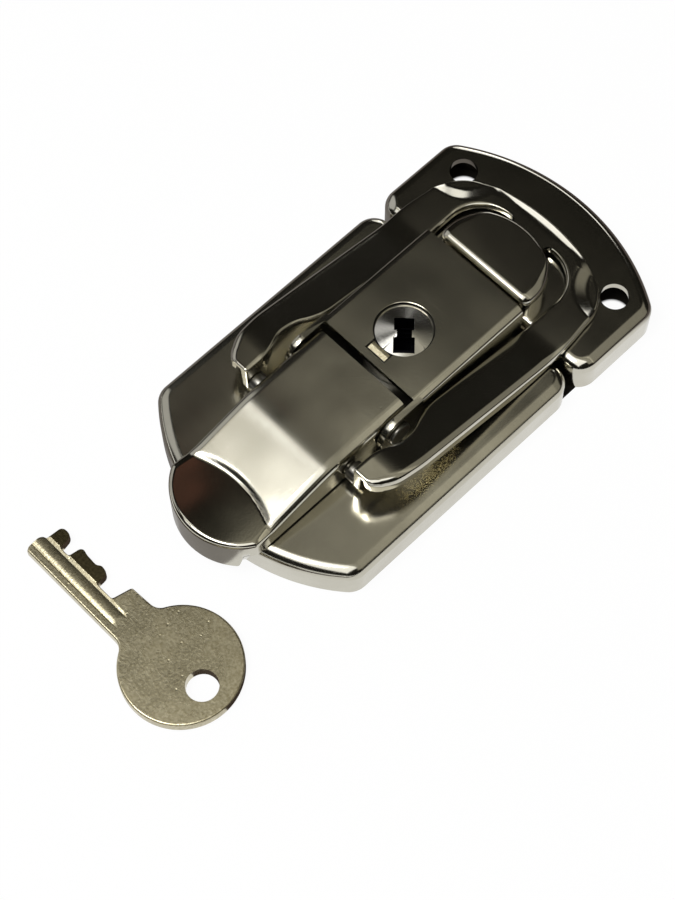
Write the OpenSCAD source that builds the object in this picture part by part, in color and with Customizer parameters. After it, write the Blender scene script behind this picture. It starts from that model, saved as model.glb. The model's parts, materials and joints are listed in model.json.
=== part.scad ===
// Lockable draw latch for a cargo box: pressed base, strike with hook, lever, loop and key lock.
// Frame: X across, Y along the pull toward the strike, Z up off the panel.
// The origin is where the key axis meets the panel.

/* [Sheet] */
// thickness of the pressed plates
sheet = 1.0; // [0.8:0.1:1.4]
// rounding of the pressed plate edges
edge_round = 1.8; // [1.2:0.1:2.4]

/* [Base plate] */
// width across the base
base_width = 40; // [38:0.5:46]
// height of both plates above the panel
plate_height = 5.8; // [5.6:0.1:7]
// key axis to the parting edge of the base
parting_reach = 14.1; // [13.8:0.1:16]
// key axis to the tip of the rounded end
base_reach = 36.8; // [36:0.1:38]
// radius of the rounded end
base_end_radius = 29; // [27:0.5:33]
// radius of the plate corners
plate_corner = 3.2; // [2.6:0.1:4]
// spacing of the screws under the loop arms
arm_screw_x = 26.4; // [26:0.1:26.8]
// screws under the loop arms beyond the key axis
arm_screw_y = 5; // [4:0.5:7]
// spacing of the screws under the lever
lever_screw_x = 11; // [10:0.5:12]
// screws under the lever before the key axis
lever_screw_reach = 27; // [25:0.5:29]
// screw hole diameter in both plates
screw_hole = 4.2; // [3.4:0.1:4.4]

/* [Strike plate] */
// gap between base and strike
parting_gap = 0.8; // [0.5:0.1:1.5]
// width across the strike
strike_width = 40.9; // [40:0.1:46]
// length of the strike along the pull
strike_length = 22; // [21.5:0.1:24]
// radius of the strike end
strike_end_radius = 34.7; // [32:0.1:40]
// spacing of the two strike screws
strike_screw_x = 30; // [29.5:0.1:31]
// strike screw line beyond the near edge of the strike
strike_screw_reach = 12.8; // [12.5:0.1:13.2]

/* [Hook] */
// half width of the hook
hook_half = 8.6; // [8:0.1:8.8]
// hook nose length beyond the near edge of the strike
hook_reach = 9.7; // [9.5:0.1:9.9]
// hook height above the panel
hook_height = 10.4; // [10.3:0.1:10.8]

/* [Lock cover] */
// clearance of the lever between the cover cheeks
lever_gap = 0.2; // [0.15:0.05:0.4]
// cover height above the panel
cover_height = 12.1; // [12:0.1:12.6]
// front edge of the cover before the key axis
cover_front = 6.9; // [6.8:0.1:7.1]
// back edge of the cover behind the key axis
cover_back = 13.9; // [13:0.1:14]
// cover sheet thickness
cover_sheet = 0.9; // [0.8:0.05:1]

/* [Lever] */
// lever hinge before the key axis
hinge_reach = 10.7; // [10.6:0.1:10.9]
// lever hinge height above the panel
hinge_height = 8.8; // [8.7:0.1:9]
// lever hinge pin diameter
hinge_pin = 2.4; // [2:0.1:2.6]
// outer width of the lever
lever_width = 17.0; // [16:0.1:17]
// top of the lever above the panel
lever_height = 12; // [11.8:0.1:12]
// end of the flat top before the key axis
ridge_reach = 22.4; // [21.5:0.1:23.5]
// slope of the lever behind the ridge in degrees
slope_angle = 13.2; // [12:0.1:14]
// height of the flat thumb tab
tab_height = 9.4; // [9.2:0.1:9.6]
// radius of the round thumb end
tab_radius = 9.9; // [9.6:0.1:10]
// centre of the round thumb end before the key axis
tab_reach = 31.2; // [31:0.1:31.6]
// height of the lower edge of the thumb lip
lip_bottom = 3.0; // [2.6:0.1:3.6]

/* [Draw loop] */
// loop pin behind the hinge
loop_offset = 8.1; // [7.9:0.1:8.3]
// loop pin below the hinge line
loop_drop = 0.8; // [0.7:0.1:0.9]
// loop pin diameter
loop_pin_size = 2.0; // [1.8:0.1:2.2]
// thickness of the loop sheet
loop_sheet = 1.0; // [0.9:0.05:1.1]
// clearance of the loop window beside the cover
loop_gap = 0.4; // [0.35:0.05:0.6]
// width of one loop arm
arm_width = 6.4; // [6:0.1:6.6]
// height of the loop at the hinge end
loop_high = 12.3; // [12.1:0.1:12.5]
// height of the loop at the hook end
loop_low = 7.6; // [7.5:0.05:7.65]
// hook end of the window beyond the key axis
window_reach = 26.2; // [26:0.1:26.4]

/* [Lock] */
// diameter of the plug face
plug_size = 8.2; // [7.8:0.1:8.4]
// diameter of the plug body
plug_body = 7.0; // [6.8:0.1:7.2]
// outer diameter of the barrel
barrel_size = 11.2; // [10.8:0.1:11.4]
// turn of the keyway from the X axis
key_turn = -46; // [-90:1:0]
// thickness of one wafer
wafer_sheet = 0.8; // [0.6:0.05:0.85]
// spacing of the wafers
wafer_step = 1.25; // [1.2:0.05:1.3]

/* [Key] */
// diameter of the key bow
bow_size = 17.3; // [15:0.1:20]
// key thickness
key_sheet = 1.9; // [1.6:0.1:2.2]
// blade length from the bow centre to the tip
key_length = 27.4; // [26:0.1:30]
// diameter of the ring hole
ring_hole = 4.6; // [4:0.1:5]
// bow centre across
key_x = 11.3; // [8:0.1:14]
// bow centre before the key axis
key_reach = 53.4; // [52:0.1:60]
// turn of the key where it lies
key_lie = 0; // [-10:1:10]

/* [Hidden] */
// clearance of a pin in its running hole
run_gap = 0.05;
// clearance of a fixed piece in its slot
slot_gap = 0.06;
// thin slice used to stack the rounded plates
slice = 0.01;
over = 1;
base_half = base_width / 2;
strike_half = strike_width / 2;
strike_near = parting_reach + parting_gap;
strike_far = strike_near + strike_length;
screw_r = screw_hole / 2;
strike_screw_y = strike_near + strike_screw_reach;
hook_tip = strike_near + hook_reach;
plate_under = plate_height - sheet;
// undercut of the hook and its front face behind the strike edge
hook_neck = 1.3;
hook_edge = 0.6;
hook_front = 0.5;
hinge_r = hinge_pin / 2;
hinge_y = -hinge_reach;
ear_r = cover_height - 0.1 - hinge_height;
cover_in = lever_width / 2 + lever_gap;
cover_half = cover_in + cover_sheet;
cover_width = 2 * cover_half;
cover_under = cover_height - cover_sheet;
cover_bend = 1.3;
lever_half = lever_width / 2;
lever_in = lever_half - sheet;
lever_bend = 1.4;
lip_half = lever_half - 1.6;
lug_r = 2.5;
lever_front = hinge_y + lug_r;
skirt_bottom = hinge_height - lug_r;
tab_end = tab_reach + tab_radius;
crease_r = 16.1;
crease_y = -31.2 - crease_r;
tongue_half = 2.5;
tongue_bottom = 2.0;
loop_pin_y = hinge_y - loop_offset;
loop_pin_z = hinge_height - loop_drop;
loop_pin_r = loop_pin_size / 2;
stud_r = loop_pin_r + 0.5;
window_half = cover_half + loop_gap;
loop_half = window_half + arm_width;
pin_head = 0.55;
ear_in = cover_half + pin_head + 0.25;
ear_sheet = 1.1;
plug_r = plug_size / 2;
body_r = plug_body / 2;
barrel_r = barrel_size / 2;
barrel_bottom = 3.3;
flange_sheet = 1.0;
flange_r = 6.6;
rivet_r = 0.75;
rivet_head_r = 1.2;
rivet_gap = 0.2;
rivet_x = cover_in - rivet_head_r - rivet_gap;
cam_bottom = 1.9;
cam_sheet = 1.0;
tail = 3.5;
face_top = 12.5;
head_bottom = 10.6;
keyway_bottom = 4.9;
wafer_low = 5.6;
wafer_r = body_r - 0.05;
wafer_half = 2.2;
tab_half = 2;
tab_foot = 1.6;
tab_rows = [-6, 8];

// points of an arc, end points included
function arc(x, y, r, from, to, n) =
  [for (i = [0 : n]) let (a = from + (to - from) * i / n) [x + r * cos(a), y + r * sin(a)]];

// centre height of the corner that blends a straight side into a round end
function blend_y(half, r, end_r) = sqrt(pow(end_r - r, 2) - pow(half - r, 2));

// plate outline with one straight end and one round end, drawn in by d
function plate_outline(half, straight, reach, end_r, r, d) =
  let (cy = reach - end_r)
  let (fx = half - r)
  let (fy = blend_y(half, r, end_r))
  let (turn = atan2(fy, fx))
  concat(
    arc(-fx, straight + r, r - d, 180, 270, 6),
    arc(fx, straight + r, r - d, 270, 360, 6),
    arc(fx, cy + fy, r - d, 0, turn, 4),
    arc(0, cy, end_r - d, turn + 4, 176 - turn, 16),
    arc(-fx, cy + fy, r - d, 180 - turn, 180, 4));

// closed skin through a row of rings
module skin(rings) {
  n = len(rings);
  m = len(rings[0]);
  points = [for (r = rings) for (p = r) p];
  sides = [for (i = [0 : n - 2]) for (j = [0 : m - 1]) let (k = (j + 1) % m)
    for (f = [[i * m + j, (i + 1) * m + j, i * m + k], [i * m + k, (i + 1) * m + j, (i + 1) * m + k]]) f];
  caps = [[for (j = [0 : m - 1]) j], [for (j = [m - 1 : -1 : 0]) (n - 1) * m + j]];
  polyhedron(points, concat(sides, caps), convexity = 6);
}

// rings of a plate drawn in by d, from the panel up over the rounded top edge
function plate_rings(half, straight, reach, end_r, height, r, d) =
  [for (v = concat([[0, 0]], [for (a = [0 : 15 : 90]) [height - r + r * sin(a), r - r * cos(a)]]))
    [for (q = plate_outline(half, straight, reach, end_r, plate_corner, d + v[1])) [q[0], q[1], v[0]]]];

// hollow pressed plate: down the inside, out under the rim and up the outside
module pan(half, straight, reach, end_r) {
  inside = plate_rings(half, straight, reach, end_r, plate_under, edge_round - sheet, sheet);
  outside = plate_rings(half, straight, reach, end_r, plate_height, edge_round, 0);
  skin(concat([for (i = [len(inside) - 1 : -1 : 0]) inside[i]], outside));
}

module screw_holes(spots) {
  for (p = spots)
    translate([p[0], p[1], -over]) cylinder(r = screw_r, h = plate_height + 2 * over, $fn = 48);
}

// rod lying across the latch
module cross_rod(r, half, y, z) {
  translate([-half, y, z]) rotate([0, 90, 0]) cylinder(r = r, h = 2 * half, $fn = 48);
}

module base_plate() {
  color("silver") difference() {
    rotate([0, 0, 180]) pan(base_half, -parting_reach, base_reach, base_end_radius);
    screw_holes([for (x = [-1, 1]) [x * arm_screw_x / 2, arm_screw_y]]);
    screw_holes([for (x = [-1, 1]) [x * lever_screw_x / 2, -lever_screw_reach]]);
    // clearance for the barrel and its rivets
    translate([0, 0, over]) cylinder(r = barrel_r + slot_gap, h = plate_height, $fn = 64);
    for (x = [-rivet_x, rivet_x])
      translate([x, 0, over]) cylinder(r = rivet_r, h = plate_height, $fn = 32);
    // window for the lever tongue
    translate([-tongue_half - 0.6, hinge_y - 7.6, over])
      cube([2 * tongue_half + 1.2, 7.6 + lug_r + 0.5, plate_height]);
    // slots for the cover tabs
    for (x = [-1, 1]) for (y = tab_rows)
      translate([x * (cover_half + cover_in) / 2, y, plate_height / 2 + over])
        cube([cover_sheet + 2 * slot_gap, 2 * tab_half + 2 * slot_gap, plate_height], center = true);
  }
}

// outline of the hook nose, drawn in by d, its front face f behind the strike edge
nose_r = 6.2;
nose_turn = 62;
nose_end_r = nose_r + (hook_half - nose_r) / cos(nose_turn);
nose_end_y = hook_tip - nose_end_r;
nose_y = nose_end_y + (nose_end_r - nose_r) * sin(nose_turn);
function hook_outline(d, f) =
  concat(
    [[-hook_half + d, strike_near + f], [hook_half - d, strike_near + f]],
    arc(hook_half - nose_r, nose_y, nose_r - d, 0, nose_turn, 8),
    arc(0, nose_end_y, nose_end_r - d, nose_turn + 6, 174 - nose_turn, 8),
    arc(-hook_half + nose_r, nose_y, nose_r - d, 180 - nose_turn, 180, 8));

// nose with a rounded upper edge
module hook_nose(low, high, r) {
  levels = concat([[low, 0]], [for (a = [0 : 22.5 : 90]) [high - r + r * sin(a), r - r * cos(a)]]);
  skin([for (v = levels) [for (q = hook_outline(v[1], hook_front + 2 * v[1])) [q[0], q[1], v[0]]]]);
}

module strike_plate() {
  color("silver") difference() {
    union() {
      pan(strike_half, strike_near, strike_far, strike_end_radius);
      hook_nose(hook_height - sheet, hook_height, hook_edge);
      translate([0, 0, plate_under + 0.2]) linear_extrude(hook_height - plate_under - sheet / 2 - 0.2)
        polygon(hook_outline(hook_neck, hook_front));
    }
    // hollow of the hook, open below
    translate([0, 0, -over]) linear_extrude(hook_height - sheet + over)
      polygon(hook_outline(hook_neck + sheet, hook_front + sheet));
    screw_holes([for (x = [-1, 1]) [x * strike_screw_x / 2, strike_screw_y]]);
  }
}

// upside-down channel profile with rounded shoulders
module channel(half, top, bend, low, steps = 32) {
  translate([-half, low]) square([2 * half, top - bend - low]);
  translate([-half + bend, low]) square([2 * half - 2 * bend, top - low]);
  for (x = [-1, 1]) translate([x * (half - bend), top - bend]) circle(r = bend, $fn = steps);
}

// profile run along Y from one station to another
module run_y(from, to) {
  translate([0, to, 0]) rotate([90, 0, 0]) linear_extrude(to - from) children();
}

module lock_cover() {
  color("silver") difference() {
    union() {
      run_y(-cover_front, cover_back) channel(cover_half, cover_height, cover_bend, plate_height);
      // ears that carry the hinge pin
      for (x = [-cover_half, cover_in]) {
        translate([x, hinge_y, plate_height])
          cube([cover_sheet, -hinge_y - cover_front + over, hinge_height + ear_r - plate_height]);
        translate([x, hinge_y, hinge_height]) rotate([0, 90, 0])
          cylinder(r = ear_r, h = cover_sheet, $fn = 64);
      }
      // tabs clenched under the base
      for (s = [-1, 1]) for (y = tab_rows) {
        translate([s * (cover_half + cover_in) / 2, y, plate_height - 0.4])
          cube([cover_sheet, 2 * tab_half, 2 * (sheet + cover_sheet - 0.4)], center = true);
        translate([s * cover_half, y, plate_under - cover_sheet / 2])
          cube([tab_foot, 2 * tab_half, cover_sheet], center = true);
      }
    }
    run_y(-cover_front - 12, cover_back - cover_sheet)
      channel(cover_in, cover_under, cover_bend - cover_sheet, plate_under - cover_sheet - over);
    // lower rounding of the ears is cut flush with the base
    translate([-cover_half - over, hinge_y - 2 * ear_r, plate_height - ear_r])
      cube([cover_width + 2 * over, 2 * ear_r + 2, ear_r]);
    cross_rod(hinge_r, cover_half + over, hinge_y, hinge_height);
    cylinder(r = plug_r + 0.25, h = cover_height + over, $fn = 64);
    translate([-1.85, -5.8, cover_under - over]) cube([3.7, 4, cover_sheet + 2 * over]);
  }
}

// channel section of the lever drawn in by d
module lever_section(d, low) {
  channel(lever_half - d, lever_height - d, lever_bend - d / 2, low, 12);
}

// one side of the mitre at the ridge of the lever, which halves the bend
module ridge_side(d, side) {
  translate([0, -ridge_reach, lever_height - d]) rotate([slope_angle / 2, 0, 0])
    translate([-lever_width, side * lever_width - lever_width, -2 * lever_width])
    cube([2 * lever_width, 2 * lever_width, 4 * lever_width]);
}

// lever form drawn in by d
module lever_form(d) {
  difference() {
    union() {
      intersection() {
        run_y(-ridge_reach - 4, lever_front + d * 2) lever_section(d, 0);
        ridge_side(d, 1);
      }
      // sloping run behind the ridge
      intersection() {
        translate([0, -ridge_reach, lever_height - d]) rotate([slope_angle, 0, 0])
          translate([0, 0, d - lever_height]) run_y(-14, 4) lever_section(d, -2);
        ridge_side(d, -1);
        translate([-lever_half - over, -tab_reach - 2.6, 0])
          cube([lever_width + 2 * over, tab_reach, lever_height + over]);
      }
      // round thumb end
      intersection() {
        translate([0, -tab_reach, 0]) rotate_extrude($fn = 96) {
          square([tab_radius - d, tab_height - d - 0.8]);
          square([tab_radius - d - 0.8, tab_height - d]);
          translate([tab_radius - d - 0.8, tab_height - d - 0.8]) circle(r = 0.8, $fn = 24);
        }
        translate([-lever_half + d, -tab_end - over, 0])
          cube([lever_width - 2 * d, tab_end - tab_reach - 2 + over, lever_height]);
      }
    }
    // flat thumb pad with its round crease
    translate([0, crease_y, tab_height - d]) cylinder(r = crease_r + d, h = lever_height, $fn = 96);
  }
}

module lever() {
  color("silver") difference() {
    union() {
      difference() {
        intersection() {
          lever_form(0);
          union() {
            translate([-lever_half - over, -tab_end - over, skirt_bottom])
              cube([lever_width + 2 * over, tab_end + over, lever_height]);
            translate([-lip_half, -tab_end - over, lip_bottom]) cube([2 * lip_half, 6.2, lever_height]);
          }
        }
        lever_form(sheet);
        // lug rounding under the hinge
        translate([-lever_half - over, hinge_y, skirt_bottom - over]) difference() {
          cube([lever_width + 2 * over, lug_r + over, lug_r + over]);
          translate([-over, 0, lug_r + over]) rotate([0, 90, 0])
            cylinder(r = lug_r, h = lever_width + 4 * over, $fn = 64);
        }
      }
      // locking tongue
      translate([-tongue_half, lever_front - sheet, tongue_bottom])
        cube([2 * tongue_half, sheet, lever_height - sheet / 2 - tongue_bottom]);
    }
    cross_rod(hinge_r + run_gap, lever_half + over, hinge_y, hinge_height);
    cross_rod(loop_pin_r + run_gap, lever_half + over, loop_pin_y, loop_pin_z);
  }
}

module lever_pin() {
  color("gray") {
    cross_rod(hinge_r, cover_half, hinge_y, hinge_height);
    for (x = [-cover_half - pin_head, cover_half])
      translate([x, hinge_y, hinge_height]) rotate([0, 90, 0])
        cylinder(r = hinge_r + 0.6, h = pin_head, $fn = 48);
  }
}

// two studs on the loop ears that turn in the lever skirts
module loop_pins() {
  color("gray") for (s = [-1, 1]) translate([0, loop_pin_y, loop_pin_z]) rotate([0, s * 90, 0]) {
    translate([0, 0, lever_in - 0.8]) cylinder(r = stud_r, h = 0.5, $fn = 48);
    translate([0, 0, lever_in - 0.4]) cylinder(r = loop_pin_r, h = ear_in - lever_in + 0.3, $fn = 48);
    translate([0, 0, lever_half + 0.3]) cylinder(r = stud_r, h = ear_in - lever_half - 0.3, $fn = 48);
  }
}

// height of the loop along the pull: high at the hinge, low at the hook, straight between eased ends
crank_from = loop_pin_y + 1.3;
crank_to = strike_near;
crank_ease = 0.16;
function eased(t) = t < crank_ease ? t * t / (2 * crank_ease)
  : t > 1 - crank_ease ? 1 - crank_ease - (1 - t) * (1 - t) / (2 * crank_ease) : t - crank_ease / 2;
function loop_level(y) =
  let (t = min(1, max(0, (y - crank_from) / (crank_to - crank_from))))
  loop_high - (loop_high - loop_low) * eased(t) / (1 - crank_ease);
// coined facets at the hook end: a straight crescent and a lens at each corner
facet_fall = 0.26;
fold_y = window_reach + 1.8;
eye_out = 26.2;
eye_along = 8.0;
eye_half = 4.3;
eye_bulge = 1.7;
function far_drop(y) = max(0, y - fold_y);
function eye_drop(x, y) =
  let (out = abs(x) * 0.68 + y * 0.733)
  let (along = (y * 0.68 - abs(x) * 0.733 - eye_along) / eye_half)
  max(0, out - eye_out + eye_bulge * (1 - along * along));
function loop_top(x, y) =
  loop_level(y) - (y > strike_near ? min(0.5, facet_fall * max(far_drop(y), eye_drop(x, y))) : 0);
// right arm: station, inner edge, outer edge
arm_rows = [[loop_pin_y - 1.45, ear_in, loop_half - 2.9], [loop_pin_y - 0.9, ear_in, loop_half - 2.2],
  [loop_pin_y, ear_in, loop_half - 1.5], [loop_pin_y + 0.9, ear_in, loop_half - 1],
  [loop_pin_y + 1.5, ear_in, loop_half - 0.7], [loop_pin_y + 2.2, ear_in, loop_half - 0.45],
  [loop_pin_y + 4.2, ear_in + 0.6, loop_half - 0.2], [hinge_y - 1.9, ear_in + 1.5, loop_half],
  [hinge_y + 1.1, ear_in + 1.3, loop_half], [hinge_y + 3.1, window_half + 0.7, loop_half],
  [-5, window_half, loop_half], [-1, window_half, loop_half], [3, window_half, loop_half],
  [7, window_half, loop_half], [11, window_half, loop_half],
  [strike_near + 0.1, window_half + 0.1, loop_half - 0.1],
  [strike_near + 3.1, window_half + 0.2, loop_half - 0.4]];
// lower edge of the ear around the loop pin, then rising to the arm
loop_ear_r = 1.6;
function ear_bottom(y) =
  y < loop_pin_y + 1.5 ? loop_pin_z - sqrt(max(0, pow(loop_ear_r, 2) - pow(y - loop_pin_y, 2)))
    : loop_pin_z - 0.5 + (y - loop_pin_y - 1.5) * 1.3;
corner_r = 7.1;
corner_x = loop_half - 0.8 - corner_r;
corner_y = 20.9;
corner_turn = 66;
end_r = (corner_x + corner_r * cos(corner_turn)) / cos(corner_turn);
end_y = corner_y + corner_r * sin(corner_turn) - end_r * sin(corner_turn);
inner_r = 6;
inner_x = window_half + 0.2 - inner_r;
inner_y = window_reach - inner_r;
// tongue on the window edge that goes under the hook nose
hold_half = 2.7;
hold_lap = 0.8;
bend_steps = 8;
bar_steps = 5;
right_in = concat([for (a = arm_rows) [a[1], a[0]]], arc(inner_x, inner_y, inner_r, 0, 70, bend_steps),
  arc(inner_x, inner_y, inner_r, 80, 90, 1),
  [[hold_half + 0.1, window_reach - 0.5], [hold_half, hook_tip - hold_lap], [0, hook_tip - hold_lap]]);
right_out = concat([for (a = arm_rows) [a[2], a[0]]],
  arc(corner_x, corner_y, corner_r, 0, corner_turn, bend_steps),
  [for (i = [1 : bar_steps]) let (t = corner_turn + (90 - corner_turn) * i / bar_steps)
    [end_r * cos(t), end_y + end_r * sin(t)]]);
half_n = len(right_in);
// whole path, right arm first
path_in = concat(right_in, [for (i = [half_n - 2 : -1 : 0]) [-right_in[i][0], right_in[i][1]]]);
path_out = concat(right_out, [for (i = [half_n - 2 : -1 : 0]) [-right_out[i][0], right_out[i][1]]]);
// one cross section of the loop: up the inner lip, across, down the outer rim and back underneath
function loop_ring(a, b) =
  let (span = norm(b - a))
  let (u = (b - a) / span)
  let (low = max(loop_sheet, min(2.3, loop_top(b[0], b[1]) - plate_height - 0.5)))
  let (r = min(1.1, low - 0.25, max(0.4, 1.1 - (b[1] - 12) * 0.15)))
  let (deep = max(loop_sheet, a[1] < -12 ? loop_high - ear_bottom(a[1]) : 0))
  let (spots = [[0, -deep], [0, -0.5], [0.15, -0.15], [0.5, 0], [span * 0.45, 0], [span - r, 0],
    [span - 0.5 * r, -0.13 * r], [span - 0.13 * r, -0.5 * r], [span, -r], [span, -low],
    [span - loop_sheet, -low], [span - loop_sheet - 0.3, -loop_sheet],
    [ear_sheet + 0.25, -loop_sheet], [ear_sheet, -deep]])
  [for (s = spots) let (p = a + u * s[0]) [p[0], p[1], loop_top(p[0], p[1]) + s[1]]];
loop_rings = [for (i = [0 : len(path_in) - 1]) loop_ring(path_in[i], path_out[i])];

module draw_loop() {
  color("silver") skin(loop_rings);
}

module lock_barrel() {
  flange_top = plate_under;
  color("gray") difference() {
    union() {
      translate([0, 0, barrel_bottom])
        cylinder(r = barrel_r, h = cover_under - 0.1 - barrel_bottom, $fn = 64);
      translate([0, 0, flange_top - flange_sheet]) cylinder(r = flange_r, h = flange_sheet, $fn = 64);
      for (s = [-1, 1]) {
        translate([s * rivet_x, 0, flange_top - flange_sheet]) cylinder(r = 1.6, h = flange_sheet, $fn = 32);
        translate([s * rivet_x / 2, 0, flange_top - flange_sheet / 2])
          cube([rivet_x, 3.2, flange_sheet], center = true);
      }
      // lug that shows in the cover notch
      translate([-1.6, -5.5, cover_under - 1.2]) cube([3.2, 1.2, 2]);
    }
    translate([0, 0, barrel_bottom - over]) cylinder(r = body_r + run_gap, h = cover_height, $fn = 64);
    translate([0, 0, head_bottom - 0.05]) cylinder(r = plug_r + run_gap, h = cover_height, $fn = 64);
    // channels for the wafer ends in the two rest positions
    for (t = [0, -90]) rotate([0, 0, key_turn + t])
      translate([0, -wafer_half - 0.15, keyway_bottom - 0.1])
        cube([body_r + 0.75, 2 * wafer_half + 0.3, head_bottom - keyway_bottom - 0.4]);
    for (x = [-rivet_x, rivet_x]) translate([x, 0, 0]) cylinder(r = rivet_r, h = plate_height, $fn = 32);
  }
}

module barrel_rivets() {
  low = plate_under - flange_sheet;
  color("gray") for (x = [-rivet_x, rivet_x]) translate([x, 0, 0]) {
    translate([0, 0, low - 0.4]) cylinder(r = rivet_head_r, h = 0.4, $fn = 32);
    translate([0, 0, low]) cylinder(r = rivet_r, h = plate_height - low, $fn = 32);
    translate([0, 0, plate_height]) cylinder(r = rivet_head_r, h = 0.5, $fn = 32);
  }
}

// keyway section, its slot running along local X
module keyway(end) {
  translate([-1.75, -1.4]) square([2.0, 2.8]);
  translate([0.2, -1.0]) square([1.2, 2.1]);
  translate([1.3, -1.5]) square([end - 1.3, 3.0]);
}

module key_plug() {
  dome = 17;
  color("silver") difference() {
    union() {
      translate([0, 0, barrel_bottom]) cylinder(r = body_r, h = head_bottom - barrel_bottom + 0.1, $fn = 64);
      intersection() {
        translate([0, 0, head_bottom]) cylinder(r = plug_r, h = face_top - head_bottom + over, $fn = 64);
        translate([0, 0, face_top - dome]) sphere(r = dome, $fn = 128);
      }
      translate([-tail / 2, -tail / 2, cam_bottom]) cube([tail, tail, barrel_bottom - cam_bottom + 0.1]);
    }
    rotate([0, 0, key_turn]) {
      translate([0, 0, keyway_bottom]) linear_extrude(face_top) keyway(2.9);
      translate([0, 0, head_bottom + 0.6]) linear_extrude(face_top) keyway(3.6);
      for (i = [0 : 3]) {
        // slot for the wafer, closed behind its spring
        translate([-body_r + 0.3, -wafer_half - slot_gap,
            wafer_low + i * wafer_step - wafer_sheet / 2 - 0.05])
          cube([2 * body_r, 2 * wafer_half + 2 * slot_gap, wafer_sheet + 0.1]);
      }
    }
    translate([0, 0, cam_bottom - over]) cylinder(r = 1.0, h = 3.4, $fn = 32);
  }
}

// one wafer, pushed along the keyway by its spring
module wafer(i) {
  color("goldenrod") rotate([0, 0, key_turn])
    translate([0, 0, wafer_low + i * wafer_step - wafer_sheet / 2]) linear_extrude(wafer_sheet)
    difference() {
      intersection() {
        circle(r = wafer_r, $fn = 64);
        translate([-2.35, -wafer_half]) square([wafer_r + 3, 2 * wafer_half]);
      }
      translate([-1.9, -1.6]) square([4.85, 3.2]);
    }
}

// small coil behind the wafer
module wafer_spring(i) {
  wire = 0.12;
  coil = 0.26;
  color("gray") rotate([0, 0, key_turn]) translate([-3.08, 0, wafer_low + i * wafer_step]) rotate([0, 90, 0])
    for (j = [0 : 2]) translate([0, 0, j * 0.22]) rotate_extrude($fn = 32)
      translate([coil, 0]) circle(r = wire, $fn = 16);
}

module wafer_1() wafer(0);
module wafer_2() wafer(1);
module wafer_3() wafer(2);
module wafer_4() wafer(3);
module wafer_spring_1() wafer_spring(0);
module wafer_spring_2() wafer_spring(1);
module wafer_spring_3() wafer_spring(2);
module wafer_spring_4() wafer_spring(3);

// sickle that swings in front of the lever tongue
module lock_cam() {
  inner = 9.95;
  outer = 11.8;
  arm = 34;
  color("gray") translate([0, 0, cam_bottom]) difference() {
    union() {
      cylinder(r = 3.8, h = cam_sheet, $fn = 48);
      rotate([0, 0, arm]) translate([0, -1.4, 0]) cube([outer - 0.6, 2.8, cam_sheet]);
      linear_extrude(cam_sheet)
        polygon(concat(arc(0, 0, inner, -14, arm + 6, 12), arc(0, 0, outer, arm + 6, -14, 12)));
    }
    cube([tail + 2 * slot_gap, tail + 2 * slot_gap, 3 * cam_sheet], center = true);
  }
}

module cam_washer() {
  color("gray") translate([0, 0, cam_bottom - 0.4]) difference() {
    cylinder(r = 3.0, h = 0.4, $fn = 48);
    translate([0, 0, -over]) cylinder(r = 1.1, h = 3 * over, $fn = 32);
  }
}

module cam_screw() {
  head = 0.9;
  color("gray") difference() {
    union() {
      translate([0, 0, cam_bottom - 0.4 - head]) cylinder(r = 2.2, h = head, $fn = 48);
      translate([0, 0, cam_bottom - 0.5]) cylinder(r = 1.0, h = 2.8, $fn = 32);
    }
    translate([0, 0, cam_bottom - 0.4 - head + 0.2]) cube([5, 0.6, 0.8], center = true);
  }
}

// flat key, its blade pointing along local -X from the bow centre
blade_low = 3.85;
tooth = 2.05;
cut_floor = -0.25;
shoulder = 2.95;
module key_plan() {
  tip = -key_length;
  polygon([[-4, -blade_low], [tip + 0.4, -blade_low], [tip, -blade_low + 0.5], [tip - 0.1, -1.4],
    [tip + 0.3, -0.8], [tip + 0.8, -0.7], [tip + 1, tooth - 0.4], [tip + 1.5, tooth], [tip + 2.5, tooth],
    [tip + 3, tooth - 0.5], [tip + 3.3, cut_floor], [tip + 4.9, cut_floor], [tip + 5.2, tooth - 0.5],
    [tip + 5.7, tooth - 0.15], [tip + 6.5, tooth - 0.4], [tip + 8.6, tooth - 0.5], [tip + 9.2, tooth],
    [tip + 10.3, tooth - 0.2], [tip + 10.7, tooth - 0.7], [tip + 10.8, cut_floor], [tip + 13.8, cut_floor],
    [tip + 14.5, shoulder - 0.3], [tip + 15, shoulder], [-8.4, shoulder], [-7.5, shoulder + 0.6],
    [-4, shoulder + 3]]);
}

// milled grooves run out short of the bow
groove_rows = [-2.95, -1.7];
groove_width = 0.5;
groove_deep = 0.5;
groove_end = 9.6;
ring_x = 4.2;
module key() {
  color("goldenrod") translate([key_x, -key_reach, 0]) rotate([0, 0, key_lie]) difference() {
    union() {
      linear_extrude(key_sheet) key_plan();
      cylinder(r = bow_size / 2, h = key_sheet, $fn = 96);
    }
    translate([ring_x, 0, -over]) cylinder(r = ring_hole / 2, h = key_sheet + 2 * over, $fn = 48);
    for (y = groove_rows)
      translate([-key_length - over, y - groove_width / 2, key_sheet - groove_deep])
        cube([key_length - groove_end + over, groove_width, groove_deep + over]);
  }
}

base_plate();
strike_plate();
lock_cover();
lever();
lever_pin();
draw_loop();
loop_pins();
lock_barrel();
barrel_rivets();
key_plug();
wafer_1();
wafer_2();
wafer_3();
wafer_4();
wafer_spring_1();
wafer_spring_2();
wafer_spring_3();
wafer_spring_4();
lock_cam();
cam_washer();
cam_screw();
key();
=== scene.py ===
"""Looks of a lockable draw latch and its key: polished pressed steel, a nickel plug and a worn key."""

import json
import math

import bmesh
import bpy
import numpy as np
from mathutils import Matrix, Vector


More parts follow.
